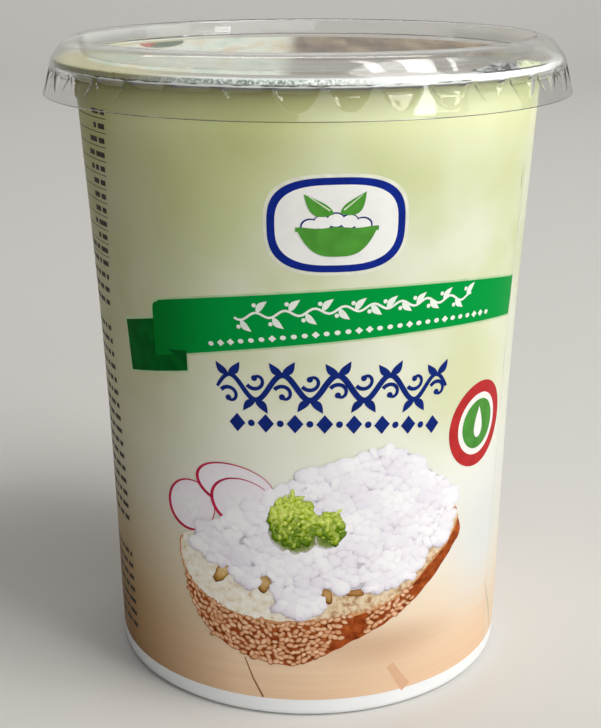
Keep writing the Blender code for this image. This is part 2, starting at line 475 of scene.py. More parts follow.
def paint_ground(tree, arc, height, flat):
    """The label's ground: table tones at the foot, cream over them, then yellow-green with soft blotches."""
    colour = ramp(tree, math_node(tree, "DIVIDE", height, 120.0), GROUND_STOPS)
    front = map_range(tree, math_node(tree, "ABSOLUTE", arc), *FRONT_FADE)
    blotch = map_range(tree, noise(tree, flat, 0.055, 2.0, 0.45), 0.42, 0.68)
    amount = times(tree, blotch, map_range(tree, height, 45, 80), front, 0.75)
    colour = mix(tree, amount, colour, rgb(204, 210, 152))
    for centre, radii, strength, tone in GROUND_SPOTS:
        colour = mix(tree, soft_spot(tree, arc, height, centre, radii, strength), colour, tone)
    stripes = noise(tree, stretched(tree, flat, (0.03, 0.9, 1)), 1.0, 3.0)
    grain = times(tree, stripes, map_range(tree, height, 26, 8), front, 0.35)
    colour = mix(tree, grain, colour, rgb(206, 160, 122))
    # Painted shade: the ground darkens over the left side, which turns from the light, and more so towards
    # its foot.
    left_shade = times(tree, map_range(tree, arc, -14, -46), front)
    corner = times(tree, map_range(tree, height, 50, 15), left_shade)
    # Painted shade along the top of the front, under the lid and its flange.
    lid_shade = times(tree, map_range(tree, height, 110, 116), map_range(tree, arc, 26, 4), front)
    for share, tone in ((left_shade, (218, 212, 192)), (corner, (200, 186, 170)), (lid_shade, (200, 196, 178))):
        colour = mix(tree, share, colour, rgb(*tone), "MULTIPLY")
    return colour


def make_label():
    arcs = np.linspace(-math.pi, math.pi, LABEL_COLUMNS, endpoint=False) * REACH
    grid_arcs, grid_heights = np.meshgrid(arcs, np.linspace(LABEL_BOTTOM, LABEL_TOP, LABEL_ROWS))
    outer = on_label(grid_arcs, grid_heights).reshape(-1, 3)
    inner = on_label(grid_arcs, grid_heights, -FILM_THICKNESS).reshape(-1, 3)
    count = LABEL_COLUMNS * LABEL_ROWS
    top = count - LABEL_COLUMNS
    afters = [(column + 1) % LABEL_COLUMNS for column in range(LABEL_COLUMNS)]
    faces = []
    for start in range(0, top, LABEL_COLUMNS):
        for column, after in enumerate(afters):
            a, b = start + column, start + after
            faces.append((a, b, b + LABEL_COLUMNS, a + LABEL_COLUMNS))
            faces.append((count + b, count + a, count + a + LABEL_COLUMNS, count + b + LABEL_COLUMNS))
    for column, after in enumerate(afters):
        faces.append((column, count + column, count + after, after))
        faces.append((top + column, top + after, count + top + after, count + top + column))
    material = film_material("printed film", paint_ground)
    label = mesh_piece("label_film", np.concatenate([outer, inner]), faces, material)
    label.data.set_sharp_from_angle(angle=math.radians(40))
    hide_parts("label")


make_label()


# Ribbon
# A green ribbon is printed across the film, its left end tucked under in a darker green, with a pale edge. A
# plain garland of leaves and a row of dots run along it.
PRINT_CELL = (1.5, 6.0)
CUT_MERGE = 1e-5
RIBBON_TOP = np.polyfit((-29.6, 3.8, 46.6), (78.6, 82.9, 79.6), 2)
RIBBON_BOTTOM = np.polyfit((-22.2, 3.8, 46.6), (70.1, 73.9, 72.3), 2)
RIBBON_LEFT = -29.6
RIBBON_RIGHT = 46.9


def print_piece(name, outlines, layer, material):
    """Prints closed outlines of (arc, height) points on the film as a flat mesh, cut to follow the wall."""
    bm = bmesh.new()
    for outline in outlines:
        bm.faces.new([bm.verts.new((arc, height, 0)) for arc, height in outline])
    bm.normal_update()
    bmesh.ops.reverse_faces(bm, faces=[face for face in bm.faces if face.normal.z < 0])
    bmesh.ops.triangulate(bm, faces=bm.faces[:])
    for axis, cell in enumerate(PRINT_CELL):
        reach = [vert.co[axis] for vert in bm.verts]
        across = Vector((axis == 0, axis == 1, 0))
        for cut in np.arange(math.ceil(min(reach) / cell), max(reach) / cell) * cell:
            geometry = [*bm.verts, *bm.edges, *bm.faces]
            point = across * float(cut)
            bmesh.ops.bisect_plane(bm, geom=geometry, dist=CUT_MERGE, plane_co=point, plane_no=across)
    bm.verts.index_update()
    places = np.array([vert.co[:2] for vert in bm.verts])
    faces = [[vert.index for vert in face.verts] for face in bm.faces]
    bm.free()
    return film_mesh(name, places, layer * PRINT_STEP, faces, material)


def film_mesh(name, places, lifts, faces, material):
    """A mesh on the film from (arc, height) places, shaded as flat as the film itself."""
    points = on_label(places[:, 0], places[:, 1], lifts)
    piece = mesh_piece(name, points, faces, material)
    piece.data.normals_split_custom_set_from_vertices(label_normals(places[:, 0], places[:, 1]).tolist())
    return piece


def ink(name, colour, darker=0.86):
    """Printed ink: one colour, given as rgb takes it, with the faint unevenness of a print."""
    full = rgb(*colour)
    low = tuple(value * darker for value in full[:3]) + (1.0,)

    def paint(tree, arc, height, flat):
        return ramp(tree, noise(tree, flat, 0.35, 5.0), ((0.34, low), (0.62, full)))
    return film_material(name, paint)


def stroke(path, widths):
    """The outline of a line drawn along (arc, height) points, with one width or one at each point."""
    path = np.asarray(path, float)
    along = np.gradient(path, axis=0)
    along /= np.linalg.norm(along, axis=1, keepdims=True)
    side = np.stack([-along[:, 1], along[:, 0]], -1) * np.asarray(widths, float).reshape(-1, 1) / 2
    return np.concatenate([path - side, (path + side)[::-1]])


def oval(centre, radii, tilt=0.0, count=40, power=2.0):
    """A closed oval, tilted by degrees; a power over 2 squares it off."""
    angles = np.linspace(0, 2 * math.pi, count, endpoint=False)
    cos, sin = np.cos(angles), np.sin(angles)
    across = radii[0] * np.sign(cos) * np.abs(cos) ** (2 / power)
    upward = radii[1] * np.sign(sin) * np.abs(sin) ** (2 / power)
    lean = math.radians(tilt)
    turned_across = centre[0] + across * math.cos(lean) - upward * math.sin(lean)
    return np.stack([turned_across, centre[1] + across * math.sin(lean) + upward * math.cos(lean)], -1)


def leaf(foot, tip, width, bend=0.0):
    """A pointed leaf from foot to tip, its middle bowed sideways by bend."""
    foot, tip = np.asarray(foot, float), np.asarray(tip, float)
    side = np.array((foot[1] - tip[1], tip[0] - foot[0])) / np.linalg.norm(tip - foot)
    shares = np.linspace(0, 1, 11)[:, None]
    middle = foot + (tip - foot) * shares + side * bend * np.sin(math.pi * shares)
    half = side * width / 2 * np.sin(math.pi * shares ** 0.8)
    return np.concatenate([middle - half, (middle + half)[-2:0:-1]])


def diamond(arc, height, across, upward):
    return [(arc - across, height), (arc, height - upward), (arc + across, height), (arc, height + upward)]


def ribbon_outline(grow=0.0):
    """The ribbon's front band, with a rounded top left corner, grown by a margin all round."""
    arcs = np.linspace(RIBBON_LEFT - grow, RIBBON_RIGHT + grow, 52)
    lower = np.stack([arcs, np.polyval(RIBBON_BOTTOM, arcs) - grow], -1)
    upper = np.stack([arcs, np.polyval(RIBBON_TOP, arcs) + grow], -1)[::-1]
    upper[0, 0] += 0.5
    corner = arc_points(upper[-1] + (1.3, -1.3), (1.3, 1.3), 90, 180, 6)
    return np.concatenate([lower, upper[:-1], corner])


def make_ribbon():
    tail = np.array([(-37.3, 63.9), (-22.2, 66.9), (-22.2, 70.6), (-27.0, 75.9), (-37.9, 73.4)])
    edge_tail = tail + ((-0.35, -0.4), (0.35, -0.4), (0.35, 0.3), (0.0, 0.4), (-0.35, 0.4))
    pale = ink("pale edge ink", (196, 222, 176))
    print_piece("ribbon_edge", [ribbon_outline(0.38), edge_tail], 1, pale)
    print_piece("ribbon_tail", [tail], 2, ink("dark green ink", (2, 104, 36), 0.7))

    def paint_band(tree, arc, height, flat):
        # Painted shade: the band darkens towards its left end, where the wall turns from the light.
        lit = map_range(tree, arc, -30.0, -14.0, fade="SMOOTHSTEP")
        return mix(tree, lit, rgb(2, 124, 44), rgb(2, 152, 64))
    print_piece("ribbon_band", [ribbon_outline()], 3, film_material("green ink", paint_band))
    fold = [(-26.5, 70.2), (-22.2, 67.9), (-22.2, 70.6)]
    print_piece("ribbon_fold", [fold], 4, ink("fold ink", (2, 92, 36)))

    garland, arcs = [], np.linspace(-12.5, 31.5, 80)
    middle = (np.polyval(RIBBON_TOP, arcs) + np.polyval(RIBBON_BOTTOM, arcs)) / 2 + 1.15
    stem = np.stack([arcs, middle + 0.55 * np.sin(arcs * 1.25)], -1)
    garland.append(stroke(stem, 0.42))
    for number in range(2, 78, 5):
        foot = stem[number]
        rise = 2.1 if number % 2 else -2.0
        garland.append(leaf(foot, foot + (1.9, rise), 1.15, 0.25 if rise > 0 else -0.25))
        garland.append(oval(foot + (-0.35, rise * 0.62), (0.38, 0.38), count=14))
    for arc in np.linspace(-17.0, 36.5, 30):
        height = np.polyval(RIBBON_BOTTOM, arc) + 1.55
        is_dot = round(arc * 2) % 3
        dot, gem = oval((arc, height), (0.52, 0.42), count=12), diamond(arc, height, 0.7, 0.62)
        garland.append(dot if is_dot else gem)
    print_piece("ribbon_garland", garland, 4, ink("white ink", (238, 246, 236), 0.94))


make_ribbon()


# Emblem
# A navy-edged plaque is printed above the ribbon: a white field with a green bowl of curds and two leaves.
EMBLEM = (4.9, 94.2)
CURD_MARKS = [(-4.4, -0.1, 10), (-2.4, 0.5, -20), (-0.3, 0.9, 0), (1.9, 0.6, 15), (4.1, 0.0, -10)]
NAVY_INK = ink("navy ink", (24, 46, 124), 0.8)
BORDER_INK = ink("border ink", (23, 45, 144), 0.8)


def make_emblem():
    across, upward = EMBLEM
    plaque = (("glow", (12.0, 8.6), ink("glow ink", (238, 240, 222))), ("border", (11.4, 8.0), BORDER_INK),
              ("field", (10.1, 6.8), ink("white field", (245, 246, 242), 0.96)))
    for layer, (title, radii, colour) in enumerate(plaque, 1):
        print_piece("emblem_" + title, [oval(EMBLEM, radii, count=64, power=2.9)], layer, colour)
    rim = np.linspace(-6.4, 6.4, 25)
    bowl = [(across + x, upward - 5.3 + 4.3 * (abs(x) / 6.4) ** 3.2) for x in rim]
    band = stroke([(across + x, upward - 0.75 + 0.12 * math.cos(x)) for x in rim * 1.06], 0.75)
    greens = [bowl, band]
    for foot, tip, bend in (((-0.6, 1.9), (-5.4, 5.3), 0.7), ((0.4, 2.0), (4.6, 5.6), -0.7)):
        greens.append(leaf(np.add(EMBLEM, foot), np.add(EMBLEM, tip), 2.5, bend))
    print_piece("emblem_green", greens, 6, ink("leaf green ink", (86, 160, 62), 0.8))
    heap = [oval((across + x, upward + y), (1.35, 1.1), tilt, 20) for x, y, tilt in CURD_MARKS]
    edges = [oval(shape.mean(0), (1.62, 1.36), 0, 20) for shape in heap]
    print_piece("emblem_curd_edge", edges, 4, NAVY_INK)
    print_piece("emblem_curds", heap, 5, ink("curd white ink", (250, 250, 248), 0.95))
    veins = [stroke([np.add(EMBLEM, foot), np.add(EMBLEM, tip)], (0.3, 0.12))
             for foot, tip in (((-1.2, 2.5), (-4.6, 4.9)), ((1.0, 2.6), (4.0, 5.1)))]
    print_piece("emblem_veins", veins, 7, ink("vein ink", (214, 232, 196)))


make_emblem()


# Scrolls
# Two ornaments in navy ink stand below the ribbon: a wide leaf scroll and a row of diamonds and dots.
SCROLL_SPAN = (-16.2, 26.8)
ROW_SPAN = (-12.6, 24.0)
WAVES = 4.5


def make_scrolls():
    arcs = np.linspace(*SCROLL_SPAN, 160)
    share = (arcs - SCROLL_SPAN[0]) / (SCROLL_SPAN[1] - SCROLL_SPAN[0])
    middle = 65.0 - 1.8 * share + 1.4 * np.sin(math.pi * share)
    vine = np.stack([arcs, middle + 2.3 * np.sin(share * WAVES * 2 * math.pi)], -1)
    shapes = [stroke(vine, 0.55 + 0.55 * np.sin(math.pi * share) ** 0.5)]
    for bend in range(int(WAVES * 2)):
        peak = int(len(arcs) * (bend + 0.5) / (WAVES * 2))
        way = 1 if bend % 2 == 0 else -1
        turns = np.linspace(0, 1, 30)
        reach, spin = 1.9 - 1.45 * turns, way * (2.6 - 4.9 * turns)
        curl = np.stack([2.1 + reach * np.cos(spin), way * -2.0 + reach * np.sin(spin)], -1)
        coil = vine[max(0, peak - 7)] + curl
        shapes.append(stroke(coil, 0.75 - 0.25 * turns))
        shapes.append(oval(coil[-1], (0.55, 0.55), count=16))
        shapes.append(leaf(vine[peak], vine[peak] + (2.2, way * 2.5), 1.5, -0.3 * way))
        shapes.append(leaf(vine[peak], vine[peak] + (-2.3, way * 2.2), 1.4, 0.3 * way))
    print_piece("leaf_scroll", shapes, 2, NAVY_INK)
    row = []
    for number, arc in enumerate(np.linspace(*ROW_SPAN, 15)):
        share = (arc - ROW_SPAN[0]) / (ROW_SPAN[1] - ROW_SPAN[0])
        height = 58.6 - 2.2 * share + 1.2 * math.sin(math.pi * share)
        dot, gem = oval((arc, height), (0.62, 0.62), count=18), diamond(arc, height, 1.5, 1.75)
        row.append(dot if number % 2 else gem)
    print_piece("diamond_row", row, 2, NAVY_INK)


make_scrolls()


# Seal
# A small round seal is printed at the right: a red ring, a white ring and a green middle with a white drop.
SEAL = (37.0, 53.4)


def make_seal():
    rings = (("red", (8.6, 8.3), 56, ink("red ink", (193, 52, 54), 0.85)),
             ("white", (6.2, 6.0), 48, ink("seal white", (244, 243, 238), 0.95)),
             ("green", (5.0, 4.8), 44, ink("seal green", (84, 154, 66), 0.8)))
    for layer, (title, radii, count, colour) in enumerate(rings, 2):
        print_piece("seal_" + title, [oval(SEAL, radii, count=count)], layer, colour)
    drop = []
    for turn in np.linspace(0, 2 * math.pi, 30, endpoint=False):
        across = 1.9 * math.sin(turn) * math.sin(turn / 2) ** 1.3
        drop.append((SEAL[0] + across, SEAL[1] + 0.4 + 3.1 * math.cos(turn)))
    print_piece("seal_drop", [drop], 5, ink("drop white", (247, 247, 244), 0.95))


make_seal()


# Serving picture
# The foot of the label shows a plain serving: a slice of seeded bread under a heap of curds, with radish
# slices behind and a tuft of parsley on top. Each is printed as flat shapes and small domed ones in ink.
CRUST_EDGE = [
    (-25.2, 33.6), (-25.6, 30.6), (-24.9, 25.6), (-23.6, 21.2), (-21.4, 17.6), (-18.3, 15.0), (-10.9, 12.0),
    (-3.4, 10.9), (2.4, 12.7), (8.6, 15.6), (16.3, 19.0), (22.9, 23.1), (30.1, 29.5), (33.0, 34.2),
]
CRUMB_EDGE = [
    (-25.4, 34.2), (-25.9, 30.6), (-24.7, 27.0), (-21.8, 23.8), (-15.2, 21.1), (-7.2, 19.8), (-0.2, 20.1),
    (5.6, 20.9), (12.1, 21.7), (19.0, 24.2), (25.1, 28.9), (29.7, 32.3), (32.0, 37.4),
]
HIDDEN_EDGE = [(26.0, 42.0), (8.0, 44.0), (-12.0, 39.0), (-22.0, 36.0)]
HEAP_EDGE = [
    (-23.6, 35.2), (-20.5, 38.3), (-16.4, 39.2), (-12.0, 42.3), (-6.8, 44.8), (-2.6, 48.3), (4.6, 51.1),
    (11.4, 53.1), (15.4, 53.8), (20.0, 52.2), (24.0, 48.8), (30.3, 43.3), (31.6, 39.0), (30.6, 34.3),
    (25.7, 31.4), (21.6, 27.3), (15.5, 25.2), (10.4, 25.6), (4.8, 26.0), (2.2, 21.6), (-2.1, 20.9),
    (-5.6, 22.5), (-7.4, 25.9), (-11.0, 26.4), (-14.4, 28.3), (-17.8, 30.0), (-21.8, 31.4),
]
LOOSE_CURDS = (
    (-1.6, 22.6, 2.5), (-4.3, 23.9, 1.8), (1.2, 23.9, 1.9), (-13.2, 29.4, 1.9), (-10.4, 27.6, 1.7),
    (12.8, 26.3, 1.8), (6.6, 26.8, 1.7), (19.5, 27.6, 1.8), (-20.6, 33.0, 2.0), (14.9, 52.6, 1.7),
)
BUTTER_GAPS = [
    (-16.3, 28.9, 2.2, 1.4, 35, 0), (-8.0, 27.6, 1.2, 2.0, 10, 0.4), (9.6, 25.6, 2.0, 0.8, 0, 1),
    (3.9, 25.4, 1.0, 1.6, 20, 0.7),
]
RADISHES = (
    ((-23.2, 40.8), (5.5, 5.1), 20), ((-13.8, 46.1), (7.9, 4.3), -9), ((-12.1, 42.9), (6.6, 4.9), -14),
)
PARSLEY_TUFTS = (((-2.6, 40.4), (4.2, 4.8), 10, 1200), ((4.2, 39.2), (2.3, 3.1), 25, 500))
PARSLEY_SHADOW = ((-2.4, 38.0, 4.9, 4.2, 0, 1), (4.0, 37.4, 2.8, 2.4, 20, 1))
SEED_RADII = (0.84, 0.47)
DOME_RINGS = (1.0, 0.8, 0.45)


def rounded(points, count=6):
    """A closed outline that curves smoothly through points."""
    here = np.asarray(points, float)
    before, after, later = np.roll(here, 1, 0), np.roll(here, -1, 0), np.roll(here, -2, 0)
    share = np.linspace(0, 1, count, endpoint=False)[:, None, None]
    curve = here + (after - before) * share / 2 + (before - 2.5 * here + 2 * after - later / 2) * share ** 2
    curve = curve + (3 * here - before - 3 * after + later) / 2 * share ** 3
    return curve.transpose(1, 0, 2).reshape(-1, 2)


def within(outline, arc, height):
    """Whether a place lies inside a closed outline."""
    near, far = outline, np.roll(outline, -1, 0)
    spans = (near[:, 1] > height) != (far[:, 1] > height)
    near, far = near[spans], far[spans]
    crossings = near[:, 0] + (height - near[:, 1]) / (far[:, 1] - near[:, 1]) * (far[:, 0] - near[:, 0])
    return np.count_nonzero(crossings > arc) % 2 == 1


def blob_piece(name, marks, layer, rise, lumps, point, seed, material, rim=0.6):
    """Prints small domed shapes from marks of arc, height, radii, tilt and tone, later ones over earlier.

    The mesh carries each mark's tone, and a shade that is 0 in the low edge of a dome and 1 on its lit top.
    rim is how far the shade comes from the edge and not from the light.
    """
    rng = np.random.default_rng(seed)
    turns = np.linspace(0, 2 * math.pi, 12, endpoint=False)
    places, lifts, shades, tones, faces = [], [], [], [], []
    for order, (arc, height, across, upward, tilt, tone) in enumerate(marks):
        swell = 1 + lumps * rng.normal() * np.cos(2 * turns + rng.uniform(0, 6.3)) - point * np.cos(turns)
        swell = swell + 0.6 * lumps * rng.normal() * np.cos(3 * turns + rng.uniform(0, 6.3))
        lean = math.radians(tilt)
        start = len(places)
        base = layer * PRINT_STEP + 0.05 * order / len(marks)
        for share in DOME_RINGS:
            x, y = across * share * swell * np.cos(turns), upward * share * swell * np.sin(turns)
            dx, dy = x * math.cos(lean) - y * math.sin(lean), x * math.sin(lean) + y * math.cos(lean)
            places += list(zip(arc + dx, height + dy))
            lifts += [base + rise * (1 - share ** 2)] * len(turns)
            lit = (0.35 * dx + 0.94 * dy) / max(across, upward)
            shades += list(rim * (1 - share ** 3) + (1 - rim) * (0.5 + 0.5 * lit))
        places.append((arc, height))
        lifts.append(base + rise)
        shades.append(0.82)
        tones += [tone] * (len(places) - start)
        count = len(turns)
        for ring in range(len(DOME_RINGS)):
            for index in range(count):
                first = start + ring * count
                a, b = first + index, first + (index + 1) % count
                inner = ring == len(DOME_RINGS) - 1
                faces.append((a, b, first + count) if inner else (a, b, b + count, a + count))
    piece = film_mesh(name, np.array(places), np.array(lifts), faces, material)
    for title, values in (("shade", shades), ("tone", tones)):
        piece.data.attributes.new(title, "FLOAT", "POINT").data.foreach_set("value", values)
    return piece


def domed_ink(name, stops, tint, strength):
    """Ink for domed shapes: a ramp over their shade, then tinted by tone."""
    def paint(tree, arc, height, flat):
        shade, tone = (add_node(tree, "ShaderNodeAttribute", attribute_name=title).outputs["Fac"]
                       for title in ("shade", "tone"))
        wobble = math_node(tree, "MULTIPLY_ADD", noise(tree, flat, 1.4, 3.0), 0.5, -0.25)
        colour = ramp(tree, math_node(tree, "ADD", shade, wobble), stops)
        return mix(tree, times(tree, tone, strength), colour, rgb(*tint), "MULTIPLY")
    return film_material(name, paint)


def scatter(rng, count, gap, centre, radii, tilt, keep=None):
    """Places spread at random over a tilted oval, no two nearer than gap; keep may refuse a place."""
    found, lean = [], math.radians(tilt)
    for _ in range(count):
        turn, share = rng.uniform(0, 2 * math.pi), math.sqrt(rng.uniform(0, 1))
        x, y = radii[0] * share * math.cos(turn), radii[1] * share * math.sin(turn)
        arc = centre[0] + x * math.cos(lean) - y * math.sin(lean)
        height = centre[1] + x * math.sin(lean) + y * math.cos(lean)
        near = any((arc - a) ** 2 + (height - b) ** 2 < gap ** 2 for a, b in found)
        if not near and (keep is None or keep(arc, height)):
            found.append((arc, height))
    return found


def make_radish():
    for number, (centre, radii, tilt) in enumerate(RADISHES):
        layer = 2 + number * 2
        pink = ink("radish skin ink %d" % number, (204, 44, 84), 0.72)
        print_piece("radish_skin_%d" % number, [oval(centre, radii, tilt, 48)], layer, pink)

        def paint(tree, arc, height, flat, centre=centre, radii=radii):
            spot = soft_spot(tree, arc, height, centre, (radii[0] * 1.05, radii[1] * 1.05))
            white_stops = stops_of((0.3, 0.7), (236, 234, 238), (252, 251, 253))
            pale = ramp(tree, noise(tree, flat, 0.9, 4.0), white_stops)
            return mix(tree, spot, rgb(242, 234, 241), pale)
        white = film_material("radish flesh ink %d" % number, paint)
        flesh = oval((centre[0] + 0.24, centre[1] + 0.12), (radii[0] - 0.44, radii[1] - 0.36), tilt, 44)
        print_piece("radish_flesh_%d" % number, [flesh], layer + 1, white)


def paint_crust(tree, arc, height, flat):
    stops = stops_of((0.3, 0.45, 0.6, 0.75), (84, 34, 14), (142, 62, 26), (180, 90, 42), (206, 134, 78))
    return ramp(tree, noise(tree, flat, 0.34, 6.0, 0.68), stops)


def paint_crumb(tree, arc, height, flat):
    """Pale crumb, toasted towards the right end of the slice."""
    pores = noise(tree, flat, 0.7, 5.0, 0.6)
    soft = stops_of((0.3, 0.4, 0.55, 0.7), (214, 190, 154), (236, 226, 204), (246, 241, 228), (252, 249, 241))
    toast = stops_of((0.36, 0.5, 0.66), (176, 134, 94), (226, 200, 164), (240, 224, 196))
    return mix(tree, map_range(tree, arc, -1.0, 4.0), ramp(tree, pores, soft), ramp(tree, pores, toast))


def make_bread():
    crust, crumb = rounded(CRUST_EDGE + HIDDEN_EDGE), rounded(CRUMB_EDGE + HIDDEN_EDGE)
    crust[:, 1] += np.sin(np.arange(len(crust)) * 1.9) * 0.14
    print_piece("bread_crust", [crust], 3, film_material("crust ink", paint_crust))
    print_piece("bread_crumb", [crumb], 4, film_material("crumb ink", paint_crumb))
    edge = crumb[:len(CRUMB_EDGE) * 6 - 6]
    toasted = stroke(edge, 0.45 + 0.4 * np.sin(np.arange(len(edge)) * 0.8) ** 2)
    print_piece("bread_edge", [toasted], 4, ink("toasted edge ink", (216, 156, 102), 0.76))

    rng = np.random.default_rng(11)

    def on_crust(arc, height):
        """Where seeds lie: thick at the left, thinner at the right, with hardly one in between."""
        left = arc < 2.4 + (height - 12.7) * 0.72
        seeded = left or (11.5 < arc < 21 and rng.uniform() < 0.8) or rng.uniform() < 0.004
        if not seeded or arc >= 23:
            return False
        return within(crust, arc, height - 0.3) and not within(crumb, arc, height + 0.2)
    seeds = []
    for arc, height in scatter(rng, 26000, 0.86, (3.4, 24.0), (31.0, 18.0), 15, on_crust):
        along = -50 if arc < -17 else (-22 if arc < -6 else 14)
        size = rng.uniform(0.8, 1.2)
        radii = (SEED_RADII[0] * size, SEED_RADII[1] * size)
        seeds.append((arc, height, *radii, along + rng.normal() * 34, rng.uniform(0, 1)))
    stops = stops_of((0.12, 0.38, 0.62, 0.9), (88, 38, 18), (188, 120, 80), (228, 178, 138), (246, 214, 182))
    sesame = domed_ink("sesame ink", stops, (222, 190, 160), 0.7)
    blob_piece("sesame_seeds", seeds, 5, 0.05, 0.05, 0.2, 5, sesame)


def make_curds():
    rng = np.random.default_rng(23)
    heap = rounded(HEAP_EDGE)
    middle = heap.mean(0)
    bed, core = middle + (heap - middle) * 0.965, middle + (heap - middle) * 0.95
    print_piece("curd_bed", [bed], 5, ink("curd shadow ink", (208, 204, 214), 0.92))
    marks = []

    def in_heap(arc, height):
        clear_of_gaps = all((arc - gap[0]) ** 2 + (height - gap[1]) ** 2 > 4.4 for gap in BUTTER_GAPS)
        return clear_of_gaps and within(core, arc, height)
    for arc, height in scatter(rng, 5200, 1.3, (4.0, 36.8), (30.0, 19.0), 13, in_heap):
        size = 1.15 + 1.55 * rng.uniform() ** 1.7
        clump = 0.5 + 0.5 * math.sin(arc * 0.42 + 1.0) * math.sin(height * 0.5 + arc * 0.12)
        shape = (size, size * rng.uniform(0.7, 1.0), rng.uniform(-50, 50))
        marks.append((arc, height, *shape, 0.7 * clump + 0.3 * rng.uniform()))
    for arc, height, size in LOOSE_CURDS:
        marks.append((arc, height, size, size * rng.uniform(0.75, 0.95), rng.uniform(-30, 30), 0.2))
    marks.sort(key=lambda mark: -mark[1] + 1.4 * rng.uniform())
    tones = (190, 184, 194), (228, 224, 231), (246, 243, 248), (255, 254, 255)
    curd_ink = domed_ink("curd ink", stops_of((0.05, 0.26, 0.48, 0.74), *tones), (226, 222, 234), 0.65)
    blob_piece("curds", marks, 7, 0.09, 0.24, 0.0, 3, curd_ink, 0.42)
    butter_stops = stops_of((0.1, 0.45, 0.9), (112, 74, 40), (190, 146, 74), (232, 206, 150))
    butter = domed_ink("butter ink", butter_stops, (190, 150, 110), 0.8)
    blob_piece("butter_gaps", BUTTER_GAPS, 6, 0.02, 0.2, 0.25, 9, butter)


def make_parsley():
    rng = np.random.default_rng(31)
    marks = []
    for centre, radii, tilt, count in PARSLEY_TUFTS:
        for arc, height in scatter(rng, count, 0.5, centre, radii, tilt):
            size = rng.uniform(0.34, 1.1)
            depth = min(1, max(0, (43.0 - height) / 7 + rng.normal() * 0.3))
            marks.append((arc, height, size, size * rng.uniform(0.5, 0.95), rng.uniform(0, 180), depth))
    marks.sort(key=lambda mark: -mark[1] + 1.6 * rng.uniform())
    shadow_stops = stops_of((0.1, 0.3, 0.7), (214, 211, 212), (150, 164, 96), (96, 122, 40))
    shadow_ink = domed_ink("parsley shade ink", shadow_stops, (225, 225, 225), 0.5)
    blob_piece("parsley_shade", PARSLEY_SHADOW, 13, 0.02, 0.05, 0.0, 2, shadow_ink)
    stops = stops_of((0.1, 0.32, 0.56, 0.84), (62, 92, 18), (126, 158, 34), (182, 206, 46), (226, 236, 132))
    leaf_ink = domed_ink("parsley ink", stops, (100, 138, 76), 0.9)
    blob_piece("parsley", marks, 14, 0.07, 0.3, 0.0, 4, leaf_ink, 0.45)


def make_table():
    """The table's board joints, drawn at the foot of the label."""
    joint = stroke([(-12.4, 11.8), (-10.8, 7.6), (-8.8, 3.7)], (0.22, 0.3, 0.4))
    print_piece("board_joint", [joint], 1, ink("joint ink", (150, 104, 72)))
    stripe = stroke([(16.5, 9.4), (18.3, 6.6), (20.3, 3.7)], (1.5, 1.9, 2.3))
    print_piece("board_stripe", [stripe], 1, ink("stripe ink", (228, 184, 150), 0.96))


make_radish()
make_bread()
make_curds()
make_parsley()
make_table()


# Side panel
# Facts are set out round the left side in plain dark bars and rules, where a pack carries its small print.
PANEL_EDGE = ((5, 69.5, 111), (-42.7, -45.5, -38.6))
PANEL_BLANKS = ((71, 74), (24, 29))
LINE_STEP = 2.55
BAR_HEIGHT = 0.95
WORD_GAP = 0.75


def box_outline(left, right, low, high):
    return [(left, low), (right, low), (right, high), (left, high)]


def make_side_panel():
    rng = random.Random(7)
    bars, height = [], 110.0
    while height > 8:
        edge = float(np.interp(height, *PANEL_EDGE))
        if not any(low < height < high for low, high in PANEL_BLANKS):
            arc = edge
            stop = edge - rng.uniform(20, 30)
            while arc > stop:
                length = rng.uniform(1.1, 3.8)
                bars.append(box_outline(arc - length, arc, height, height + BAR_HEIGHT))
                arc -= length + WORD_GAP
                if height > 86 and arc < edge - 5:
                    arc = min(arc, edge - 17)
        if height > 84:
            bars.append(box_outline(edge - 27, edge + 0.3, height - 0.75, height - 0.6))
        height -= LINE_STEP
    print_piece("side_panel", bars, 1, ink("dark ink", (66, 62, 58)))


make_side_panel()


# Seam
# The film's ends overlap in a paler strip at the right, with painted highlights where crinkles catch the
# light and painted shade in a few creases.
SEAM_FOOT = 46.2
SEAM_HEAD = 48.4
SEAM_END = 61.5
# Painted highlights: pale strokes where the overlap's crinkles catch the light.
PAINTED_GLINTS = (
    [(50.8, 92.6), (48.6, 89.4), (47.6, 84.4)], [(49.6, 80.8), (48.0, 77.6), (47.4, 72.6)],
    [(49.6, 65.2), (48.3, 63.0), (47.6, 59.0)], [(50.6, 57.8), (48.8, 55.6), (47.4, 51.6)],
    [(49.4, 47.6), (48.2, 44.0), (47.8, 38.6)], [(50.4, 99.6), (49.4, 96.8), (49.0, 93.4)],
)
# Painted shade: thin dark strokes where the film is creased.
CREASE_SHADE_LINES = (
    ([(46.9, 99.8), (46.6, 97.8), (47.1, 95.4)], (0.08, 0.2, 0.08)),
    ([(56.2, 106.4), (58.6, 104.9), (60.6, 102.6)], (0.12, 0.5, 0.16)),
    ([(44.6, 17.8), (48.4, 11.0), (51.5, 4.4)], (0.06, 0.16, 0.1)),
)


def paint_overlap(tree, arc, height, flat):
    """The film's own ground, seen through a milky overlap."""
    share = math_node(tree, "MULTIPLY_ADD", noise(tree, flat, 0.3, 3.0), 0.3, 0.1)
    return mix(tree, share, paint_ground(tree, arc, height, flat), rgb(226, 227, 212))


